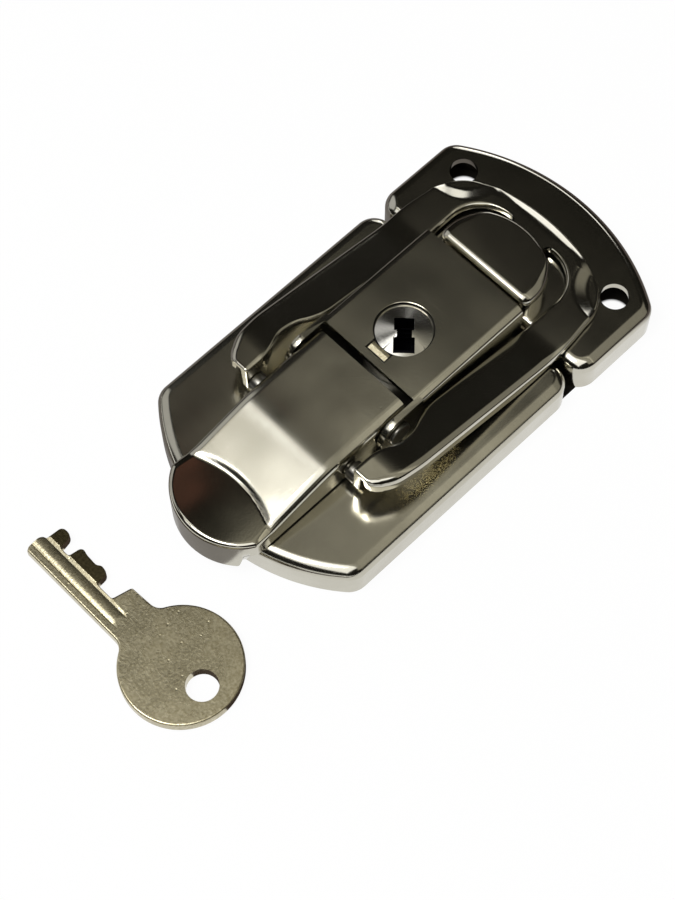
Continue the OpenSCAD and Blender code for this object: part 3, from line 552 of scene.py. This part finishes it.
def lever_skin(d):
    """Rows of one face of the lever sheet, from the lower edge up over the shoulder to the middle."""
    side, end = lever_path(d)
    path = side + end + [(-x, y) for x, y in side[::-1]]
    rows = []
    for i, (x, y) in enumerate(path):
        on_end = len(side) <= i < len(side) + len(end)
        spine_y = max(y, side[-1][1] - PAD_MIDDLE) if on_end else y
        reach = math.hypot(x, y - spine_y)
        in_x, in_y = -x / reach, (spine_y - y) / reach
        wide = 0 if on_end else eased((y - TAB_Y + BEND_RUN) / BEND_RUN)
        r = PAD_BEND + (SHOULDER_BEND - PAD_BEND) * wide - d / 2
        low = SKIRT_LOW
        if on_end:
            low = SKIRT_LOW + (LIP_LOW - SKIRT_LOW) * eased((LIP_HALF + LIP_OVER - abs(x)) / LIP_RUN)
        elif y > HINGE_Y:
            low = HINGE_Z - math.sqrt(max(0, HINGE_LUG_R ** 2 - (y - HINGE_Y) ** 2))
        rim = lever_top(x + in_x * r, y + in_y * r) - d
        row = [(x, y, low), (x, y, (low + rim - r) / 2)]
        turns = np.radians(range(0, 91, 10))
        over = [(r - r * math.cos(a), r * math.sin(a) - r) for a in turns]
        flat = [(r + (reach - r) * t, 0) for t in np.linspace(0, 1, 26)[1:]]
        for s, drop in over + flat:
            px, py = x + in_x * s, y + in_y * s
            row.append((px, py, lever_top(px, py) - d + drop))
        rows.append(row)
    return rows


def even_rows(rows, count):
    """The same face in a given number of rows."""
    spots = np.linspace(0, len(rows) - 1, count)
    low = np.floor(spots).astype(int).clip(0, len(rows) - 2)
    part = (spots - low)[:, None, None]
    rows = np.array(rows)
    return rows[low] * (1 - part) + rows[low + 1] * part


def strip(rows, start):
    """Faces between rows of points that are numbered from a start."""
    n, m = len(rows), len(rows[0])
    return [(start + i * m + j, start + (i + 1) * m + j, start + (i + 1) * m + j + 1, start + i * m + j + 1)
            for i in range(n - 1) for j in range(m - 1)]


# Both faces get the same number of rows, so that the lower edge and the front can be closed
outer, inner = lever_skin(0), lever_skin(SHEET)
count = max(len(outer), len(inner))
outer, inner = even_rows(outer, count), even_rows(inner, count)
m = outer.shape[1]
points = [tuple(p) for p in outer.reshape(-1, 3)] + [tuple(p) for p in inner.reshape(-1, 3)]
first = count * m
faces = strip(outer, 0) + [f[::-1] for f in strip(inner, first)]
faces += [(i * m, first + i * m, first + (i + 1) * m, (i + 1) * m) for i in range(count - 1)]
for i in (0, (count - 1) * m):
    faces += [(i + j, i + j + 1, first + i + j + 1, first + i + j) for j in range(m - 1)]
lever = solid("lever", points, faces)
tongue = block((-TONGUE_HALF, TONGUE_BACK, TONGUE_LOW), (TONGUE_HALF, LEVER_FRONT, TONGUE_HIGH))
combine(lever, [tongue], "UNION")
hinge_hole = cross_rod(PIN_REACH, HINGE_Y, HINGE_Z, HINGE_R + PIN_GAP)
stud_hole = cross_rod(PIN_REACH, LOOP_PIN_Y, LOOP_PIN_Z, LOOP_PIN_R + PIN_GAP)
combine(lever, [hinge_hole, stud_hole], "DIFFERENCE")
dress(lever, "lever", sharp=38)
# The polish stops short of the crease
POLISH_IN = 0.3
second_finish(lever, thumb_polish, lambda normal, at: (
    math.hypot(at.x, at.y - CREASE_Y) < CREASE_R - POLISH_IN and at.z > TAB_TOP - SHEET and at.y < PAD_FROM))

# Face of the plug: a shallow cone from the rim up to the middle, in rings of a radius at a height
PLUG_TOP, PLUG_FALL = 12.46, math.tan(math.radians(11.5))
CONE_OUT_R, CONE_RIM_R, CONE_TIP_R, CONE_SIDE_TOP = 7.0, 4.4, 0.2, 11.4
cone = [(CONE_OUT_R, -THROUGH), (CONE_OUT_R, CONE_SIDE_TOP)]
cone += [(r, PLUG_TOP - r * PLUG_FALL) for r in (CONE_RIM_R, CONE_TIP_R)]
plug_limit = solid("cutter", *skin([[(x, y, z) for x, y in circle(0, 0, r, 120)] for r, z in cone]))

# Top of the lug of the barrel: falls away from the plug as the cone does, the limit wider than the barrel
LUG_START, LUG_TOP, LIMIT_REACH, LIMIT_SIDE = -4.3, 12.1, 30, 20
slope_near, slope_far = ((y, LUG_TOP + (y - LUG_START) * PLUG_FALL) for y in (-LIMIT_REACH, LIMIT_REACH))
lug_side = [(-LIMIT_REACH, -LIMIT_SIDE), (LIMIT_REACH, -LIMIT_SIDE), slope_far, slope_near]
lug_limit = solid("cutter", *skin([[(x, y, z) for y, z in lug_side] for x in (-LIMIT_SIDE, LIMIT_SIDE)]))

# Cover, plug and small pieces: the CAD shapes with their raw edges broken
EDGE_BREAK = {"lock_cover": 0.22, "key_plug": 0.12, "lever_pin": 0.2, "loop_pins": 0.2, "barrel_rivets": 0.15,
              "lock_barrel": 0.12, "lock_cam": 0.12, "cam_washer": 0.08, "cam_screw": 0.12}
LIMITS = {"key_plug": plug_limit, "lock_barrel": lug_limit}
shaped = {piece: soften(piece, width, limit=LIMITS.get(piece)) for piece, width in EDGE_BREAK.items()}
# Painted shade: the walls of the keyway and all that lies below the face of the plug get the near black
# finish
KEYWAY_REACH, FACE_LOW = 3.75, 11.3
second_finish(shaped["key_plug"], keyway_painted_shade, lambda normal, at: (
    abs(normal.z) < WALL_Z and math.hypot(at.x, at.y) < KEYWAY_REACH or at.z < FACE_LOW))
# The part of the barrel that shows in the notch of the cover
LUG_LOW, LUG_INNER = 11.2, -4.2
second_finish(shaped["lock_barrel"], worn_nickel, lambda normal, at: at.z > LUG_LOW and at.y < LUG_INNER)

# Key: flat blank with rounded edges, cut teeth and two milled grooves in the blade
KEY_X, KEY_Y, KEY_SHEET, KEY_LENGTH, BOW_R, RING_X, RING_R = 11.3, -53.4, 1.9, 27.4, 8.65, 4.2, 2.3
BLADE_LOW, TOOTH, CUT_FLOOR, SHOULDER = 3.85, 2.05, -0.25, 2.95
KEY_EDGE, KEY_FILLET = 0.3, 1.4
# Wear of a tooth's corner: how far it reaches, and the most of a side that it takes
WORN, WORN_SHARE = 0.35, 0.45
# Cosine of the sharpest turn that an outline drawn in follows in full
TIGHTEST = -0.3
# Teeth from the tip: distance from the tip and height
TEETH = [(0.4, -BLADE_LOW), (0, 0.5 - BLADE_LOW), (-0.1, -1.4), (0.3, -0.8), (0.8, -0.7), (1, TOOTH - 0.4),
         (1.5, TOOTH), (2.5, TOOTH), (3, TOOTH - 0.5), (3.3, CUT_FLOOR), (4.9, CUT_FLOOR), (5.2, TOOTH - 0.5),
         (5.7, TOOTH - 0.15), (6.5, TOOTH - 0.4), (8.6, TOOTH - 0.5), (9.2, TOOTH), (10.3, TOOTH - 0.2),
         (10.7, TOOTH - 0.7), (10.8, CUT_FLOOR), (13.8, CUT_FLOOR), (14.5, SHOULDER - 0.3), (15, SHOULDER)]


def bend(a, corner, b, n):
    """Round corner from a to b."""
    return [a * (1 - t) ** 2 + corner * 2 * t * (1 - t) + b * t * t for t in np.linspace(0, 1, n)]


def toward(here, there):
    """Where the worn corner at one point begins, on the way to the next."""
    return here + (there - here) * min(WORN_SHARE, WORN / (there - here).length)


def drawn_in(points, d):
    """Closed outline moved inward by d, its inside on the right of the path."""
    moved = []
    for i, here in enumerate(points):
        before = here - points[i - 1]
        after = points[(i + 1) % len(points)] - here
        a, b = (Vector((step.y, -step.x)).normalized() for step in (before, after))
        moved.append(here + (a + b) * d / (1 + max(TIGHTEST, a.dot(b))))
    return moved


blade = [Vector((d - KEY_LENGTH, h)) for d, h in TEETH]
teeth = [corner for before, here, after in zip(blade, blade[1:], blade[2:])
         for corner in bend(toward(here, before), here, toward(here, after), 4)]
neck_high = Vector((-math.sqrt(BOW_R ** 2 - SHOULDER ** 2), SHOULDER))
neck_low = Vector((-math.sqrt(BOW_R ** 2 - BLADE_LOW ** 2), -BLADE_LOW))
turn_high, turn_low = (math.degrees(math.atan2(neck.y, neck.x)) for neck in (neck_high, neck_low))
fillet_turn = math.degrees(KEY_FILLET / BOW_R)
bow = [Vector(p) for p in arc(0, 0, BOW_R, turn_high - fillet_turn, turn_low + fillet_turn, 110)]
back_off = Vector((-KEY_FILLET, 0))
key_outline = ([blade[0]] + teeth + bend(neck_high + back_off, neck_high, bow[0], 8) + bow[1:-1]
               + bend(bow[-1], neck_low, neck_low + back_off, 8))
quarter = np.radians(np.linspace(0, 90, 6))
upper = [(KEY_SHEET - KEY_EDGE + KEY_EDGE * math.sin(a), KEY_EDGE - KEY_EDGE * math.cos(a)) for a in quarter]
key_levels = [(KEY_SHEET - z, inset) for z, inset in upper[::-1]] + upper
key = solid("key", *skin([[(KEY_X + x, KEY_Y + y, z) for x, y in drawn_in(key_outline, inset)]
                          for z, inset in key_levels]))
combine(key, [rod(KEY_X + RING_X, KEY_Y, -THROUGH, KEY_SHEET + THROUGH, RING_R)], "DIFFERENCE")

# A mill starts this far beyond the tip, reaches this far over the face and leaves it by this much
MILL_START, MILL_OVER, MILL_LIFT = 1.0, 0.3, 0.02


def mill(section, deep, end, ramp):
    """Cuts a section of (across, height) along the face of the blade, from its tip to a ramp at an end."""
    path = ((-KEY_LENGTH - MILL_START, 0), (-end - ramp, 0), (-end, deep + MILL_LIFT))
    rings = [[(KEY_X + x, KEY_Y + y, KEY_SHEET + z + rise) for y, z in section] for x, rise in path]
    combine(key, [solid("cutter", *skin(rings))], "DIFFERENCE")


# Each groove: one wall steep and the other gentle, from wall to floor to wall across the blade, and its depth
GROOVES = [(-2.85, -2.65, -1.95, 0.28), (-1.75, -0.7, -0.25, 0.20)]
GROOVE_END, GROOVE_RAMP = 9.6, 1.5
for near, lowest, far, deep in GROOVES:
    near_out = near - (lowest - near) * MILL_OVER / deep
    far_out = far + (far - lowest) * MILL_OVER / deep
    mill(((near_out, MILL_OVER), (lowest, -deep), (far_out, MILL_OVER)), deep, GROOVE_END, GROOVE_RAMP)
# The cut side: milled a little lower, falling toward the teeth
CUT_FROM, CUT_TO, CUT_STEP, CUT_FALL, CUT_END, CUT_RAMP = -0.15, TOOTH + 1, 0.05, 0.28, 13.2, 1.2
mill(((CUT_FROM, MILL_OVER), (CUT_FROM, -CUT_STEP), (CUT_TO, -CUT_FALL), (CUT_TO, MILL_OVER)),
     CUT_FALL, CUT_END, CUT_RAMP)
dress(key, "key", sharp=24)
# The milled face of the cut side: brass where the plate is gone, darker as painted shade
second_finish(key, cut_brass_painted_dark, lambda normal, at: (
    normal.z > WALL_Z and at.z < KEY_SHEET - MILL_LIFT
    and at.x < KEY_X - CUT_END and at.y > KEY_Y + CUT_FROM))

# White table of matt paper
TABLE_HALF, PAPER_MM = 900, 40.0
corners = [(-TABLE_HALF, -TABLE_HALF, 0), (TABLE_HALF, -TABLE_HALF, 0),
           (TABLE_HALF, TABLE_HALF, 0), (-TABLE_HALF, TABLE_HALF, 0)]
table = solid("table", corners, [(0, 1, 2, 3)])
white_table = bpy.data.materials.new("white_table")
white_table.use_nodes = True
tree = white_table.node_tree
tree.nodes.clear()
out = add(tree, "ShaderNodeOutputMaterial")
place = add(tree, "ShaderNodeTexCoord").outputs["Object"]
spot = add(tree, "ShaderNodeSeparateXYZ", {"Vector": place}).outputs
rays = add(tree, "ShaderNodeLightPath").outputs
paper = add(tree, "ShaderNodeTexNoise", {"Vector": place, "Scale": 1 / (PAPER_MM * MM)})
paper_tint = add(tree, "ShaderNodeMix", {"Factor": paper.outputs["Fac"]}, data_type="RGBA")
paper_tint.inputs["A"].default_value = colour("#f4f4f4")
paper_tint.inputs["B"].default_value = colour("#efefef")

# Painted shadow: under the latch the table's colour is dark, but for painted pools of light where light falls
# through the two strike holes
SHADE_HALF, SHADE_Y, SHADE_REACH, SHADE_END_Y, SHADE_END_R = 19.3, 4.0, 33.0, 2.2, 33.8
# Painted pools of light: middle of the right one, and the radii where they end and fade out
LIGHT_AT, LIGHT_R, LIGHT_EDGE_R = (15.0, 28.1), 2.3, 2.7
across = add(tree, "ShaderNodeMath", {0: spot["X"], 1: 0.0, 2: SHADE_HALF * MM}, operation="COMPARE")
along = add(tree, "ShaderNodeMath", {0: spot["Y"], 1: SHADE_Y * MM, 2: SHADE_REACH * MM}, operation="COMPARE")
from_end = add(tree, "ShaderNodeVectorMath", {0: place, 1: (0, SHADE_END_Y * MM, 0)}, operation="DISTANCE")
inside = add(tree, "ShaderNodeMath", {0: from_end.outputs["Value"], 1: SHADE_END_R * MM},
             operation="LESS_THAN")
under = add(tree, "ShaderNodeMath", {0: across.outputs["Value"], 1: along.outputs["Value"]},
            operation="MULTIPLY")
under = add(tree, "ShaderNodeMath", {0: under.outputs["Value"], 1: inside.outputs["Value"]},
            operation="MULTIPLY")
beside = add(tree, "ShaderNodeMath", {0: spot["X"]}, operation="ABSOLUTE")
folded = add(tree, "ShaderNodeCombineXYZ", {"X": beside.outputs["Value"], "Y": spot["Y"]})
from_hole = add(tree, "ShaderNodeVectorMath", {
    0: folded.outputs["Vector"], 1: (LIGHT_AT[0] * MM, LIGHT_AT[1] * MM, 0)}, operation="DISTANCE")
unlit = add(tree, "ShaderNodeMapRange", {
    "Value": from_hole.outputs["Value"], "From Min": LIGHT_R * MM, "From Max": LIGHT_EDGE_R * MM,
    "To Min": 0.0, "To Max": -1.0})
dark = add(tree, "ShaderNodeMath", {0: under.outputs["Value"], 1: unlit.outputs["Result"]},
           operation="MULTIPLY")
open_table = add(tree, "ShaderNodeMath", {0: 1.0, 1: dark.outputs["Value"]}, operation="ADD")
painted_shadow_tint = add(tree, "ShaderNodeMix", {"Factor": open_table.outputs["Value"]}, data_type="RGBA")
painted_shadow_tint.inputs["A"].default_value = colour("#1c1a17")
tree.links.new(paper_tint.outputs["Result"], painted_shadow_tint.inputs["B"])
matt = add(tree, "ShaderNodeBsdfDiffuse", {"Color": painted_shadow_tint.outputs["Result"]})

# Painted reflections, what the steel mirrors of the table: pale at the right, brown toward the left, dark
# beyond the latch
RIGHT_FROM, RIGHT_TO, LEFT_PALE = 0.0, 8.0, 0.16
BEYOND_FROM, BEYOND_TO, BEYOND_PALE = 30.0, 40.0, 0.05
right_side = add(tree, "ShaderNodeMapRange", {
    "Value": spot["X"], "From Min": RIGHT_FROM * MM, "From Max": RIGHT_TO * MM,
    "To Min": LEFT_PALE, "To Max": 1.0})
near_side = add(tree, "ShaderNodeMapRange", {
    "Value": spot["Y"], "From Min": BEYOND_FROM * MM, "From Max": BEYOND_TO * MM,
    "To Min": 1.0, "To Max": BEYOND_PALE})
# Painted reflections: dark in a band behind the key, grey before the thumb pad, each by middle and half size,
# pale before the key
BAND_Y, BAND_HALF = -47.0, 6.0
PAD_X, PAD_HALF, PAD_Y, PAD_REACH, PAD_PALE = -1.5, 13.5, -40.5, 4.5, 0.25
KEY_FRONT_Y = -53.0
band = add(tree, "ShaderNodeMath", {0: spot["Y"], 1: BAND_Y * MM, 2: BAND_HALF * MM}, operation="COMPARE")
near_side = add(tree, "ShaderNodeMath", {0: near_side.outputs["Result"], 1: band.outputs["Value"]},
                operation="SUBTRACT", use_clamp=True)
pale = add(tree, "ShaderNodeMath", {0: right_side.outputs["Result"], 1: near_side.outputs["Value"]},
           operation="MULTIPLY")
pad_across = add(tree, "ShaderNodeMath", {0: spot["X"], 1: PAD_X * MM, 2: PAD_HALF * MM}, operation="COMPARE")
pad_along = add(tree, "ShaderNodeMath", {0: spot["Y"], 1: PAD_Y * MM, 2: PAD_REACH * MM}, operation="COMPARE")
pad_front = add(tree, "ShaderNodeMath", {0: pad_across.outputs["Value"], 1: pad_along.outputs["Value"]},
                operation="MULTIPLY")
pale = add(tree, "ShaderNodeMath", {0: pad_front.outputs["Value"], 1: PAD_PALE, 2: pale.outputs["Value"]},
           operation="MULTIPLY_ADD", use_clamp=True)
key_front = add(tree, "ShaderNodeMath", {0: spot["Y"], 1: KEY_FRONT_Y * MM}, operation="LESS_THAN")
pale = add(tree, "ShaderNodeMath", {0: pale.outputs["Value"], 1: key_front.outputs["Value"]},
           operation="MAXIMUM")

# The camera sees the table white and with its shadow, the steel sees it in these painted reflection tones
GLOW_SHARE = 0.95
direct = add(tree, "ShaderNodeMath", {0: rays["Is Camera Ray"], 1: rays["Is Transmission Ray"]},
             operation="MAXIMUM")
white = add(tree, "ShaderNodeMath", {0: direct.outputs["Value"], 1: pale.outputs["Value"]},
            operation="MAXIMUM")
glow_and_painted_reflection_tint = add(tree, "ShaderNodeMix", {"Factor": white.outputs["Value"]}, data_type="RGBA")
glow_and_painted_reflection_tint.inputs["A"].default_value = colour("#3a2b26")
glow_and_painted_reflection_tint.inputs["B"].default_value = colour("#ffffff")
glow = add(tree, "ShaderNodeEmission", {"Color": glow_and_painted_reflection_tint.outputs["Result"], "Strength": 1.0})
seen = add(tree, "ShaderNodeMath", {0: direct.outputs["Value"], 1: rays["Is Glossy Ray"]},
           operation="MAXIMUM")
# No glow under the latch, so the painted shadow shows to the camera and in the steel
shown = add(tree, "ShaderNodeMath", {0: seen.outputs["Value"], 1: open_table.outputs["Value"]},
            operation="MULTIPLY")
share = add(tree, "ShaderNodeMath", {0: shown.outputs["Value"], 1: GLOW_SHARE}, operation="MULTIPLY")
table_mix = add(tree, "ShaderNodeMixShader", {
    0: share.outputs["Value"], 1: matt.outputs["BSDF"], 2: glow.outputs["Emission"]})
tree.links.new(table_mix.outputs["Shader"], out.inputs["Surface"])
table.data.materials.append(white_table)

# Dim room with bright fields that the steel mirrors. Each field is a range of directions: X from and to,
# Y from and to, softness of its edges in X and in Y, strength and colour
FIELDS = [(-0.42, 0.60, -0.085, 0.03, 0.04, 0.06, 1.8, "#ffffff"),
          (-0.312, 0.60, -0.70, -0.085, 0.03, 0.05, 1.6, "#ffffff"),
          (-0.42, -0.312, -0.70, -0.30, 0.04, 0.05, 1.3, "#ffffff"),
          (-0.345, -0.312, -0.30, -0.085, 0.02, 0.04, 0.45, "#efebdc"),
          (-0.45, -0.345, -0.30, -0.085, 0.02, 0.04, 0.85, "#efebdc"),
          (-0.322, 0.90, 0.00, 0.265, 0.02, 0.02, 0.60, "#d2cebe"),
          (-0.345, 0.90, 0.29, 0.33, 0.04, 0.04, 1.10, "#d2cebe"),
          (-0.28, 0.90, 0.335, 0.385, 0.04, 0.04, 0.50, "#d2cebe"),
          (-0.345, -0.318, 0.378, 0.395, 0.03, 0.03, 0.40, "#d2cebe"),
          (-0.45, -0.365, 0.28, 0.36, 0.04, 0.04, 0.10, "#c8c3b0"),
          (-0.375, -0.357, 0.225, 0.262, 0.015, 0.02, 0.20, "#d08a74"),
          (-0.62, -0.20, 0.765, 0.85, 0.05, 0.03, 1.9, "#ffffff"),
          (-0.80, -0.48, 0.645, 0.90, 0.06, 0.02, 1.6, "#ffffff"),
          (0.0, 0.95, 0.30, 0.75, 0.2, 0.1, 0.40, "#d8d4c4"),
          (-0.97, -0.52, -0.60, 0.20, 0.08, 0.1, 0.6, "#ffffff")]
# The fields fade out between these heights over the horizon
FADE_FROM, FADE_TO = 0.05, 0.2
world = bpy.data.worlds.new("room")
bpy.context.scene.world = world
world.use_nodes = True
tree = world.node_tree
tree.nodes.clear()
out = add(tree, "ShaderNodeOutputWorld")
way = add(tree, "ShaderNodeTexCoord").outputs["Generated"]
axis = add(tree, "ShaderNodeSeparateXYZ", {"Vector": way}).outputs
light = colour("#1e1d19")[:3]
for x_from, x_to, y_from, y_to, soft_x, soft_y, strength, tint_code in FIELDS:
    gain = add(tree, "ShaderNodeMapRange", {
        "Value": axis["Z"], "From Min": FADE_FROM, "From Max": FADE_TO, "To Max": strength}).outputs["Result"]
    edges = (("X", x_from, soft_x), ("X", x_to, -soft_x), ("Y", y_from, soft_y), ("Y", y_to, -soft_y))
    for name, edge, soft in edges:
        side = add(tree, "ShaderNodeMapRange", {
            "Value": axis[name], "From Min": edge - soft / 2, "From Max": edge + soft / 2},
            interpolation_type="SMOOTHSTEP")
        gain = add(tree, "ShaderNodeMath", {0: gain, 1: side.outputs["Result"]},
                   operation="MULTIPLY").outputs["Value"]
    field = add(tree, "ShaderNodeVectorMath", {0: colour(tint_code)[:3], "Scale": gain}, operation="SCALE")
    light = add(tree, "ShaderNodeVectorMath", {0: light, 1: field.outputs["Vector"]},
                operation="ADD").outputs["Vector"]
back = add(tree, "ShaderNodeBackground", {"Color": light, "Strength": 1.0})
tree.links.new(back.outputs["Background"], out.inputs["Surface"])

# Softbox under the ceiling: place and aim in mm, sides in metres and power in watts
SOFTBOX_AT, SOFTBOX_AIM = Vector((-60, -260, 620)), Vector((0, -10, 0))
SOFTBOX_SIDES, SOFTBOX_POWER = (0.30, 0.22), 2.5
softbox = bpy.data.lights.new("ceiling_softbox", "AREA")
softbox.energy = SOFTBOX_POWER
softbox.shape = "RECTANGLE"
softbox.size, softbox.size_y = SOFTBOX_SIDES
lamp = bpy.data.objects.new("ceiling_softbox", softbox)
bpy.context.scene.collection.objects.link(lamp)
lamp.location = SOFTBOX_AT * MM
lamp.rotation_euler = (SOFTBOX_AIM - SOFTBOX_AT).to_track_quat("-Z", "Y").to_euler()

# Camera of the photograph, from the fitted view: angles, distance and target in mm, focal length in pixels
AZIMUTH, ELEVATION, ROLL = math.radians(46.6), math.radians(63.96), math.radians(-1.1)
DISTANCE, TARGET = 305.26, Vector((2.558, -15.57, 0))
FOCAL_PIXELS, PICTURE_HEIGHT, SENSOR_HEIGHT = 2165, 900, 36.0
away = Vector((math.sin(AZIMUTH) * math.cos(ELEVATION), -math.cos(AZIMUTH) * math.cos(ELEVATION),
               math.sin(ELEVATION)))
flat_right = Vector((math.cos(AZIMUTH), math.sin(AZIMUTH), 0))
flat_up = away.cross(flat_right)
right = math.cos(ROLL) * flat_right + math.sin(ROLL) * flat_up
up = -math.sin(ROLL) * flat_right + math.cos(ROLL) * flat_up
lens = bpy.data.cameras.new("camera")
lens.sensor_fit = "VERTICAL"
lens.sensor_height = SENSOR_HEIGHT
lens.lens = FOCAL_PIXELS * SENSOR_HEIGHT / PICTURE_HEIGHT
lens.clip_start = 0.01
camera = bpy.data.objects.new("camera", lens)
bpy.context.scene.collection.objects.link(camera)
facing = Matrix((right, up, away)).transposed().to_4x4()
camera.matrix_world = Matrix.Translation((TARGET + away * DISTANCE) * MM) @ facing
bpy.context.scene.camera = camera
bpy.context.scene.view_settings.view_transform = "Standard"
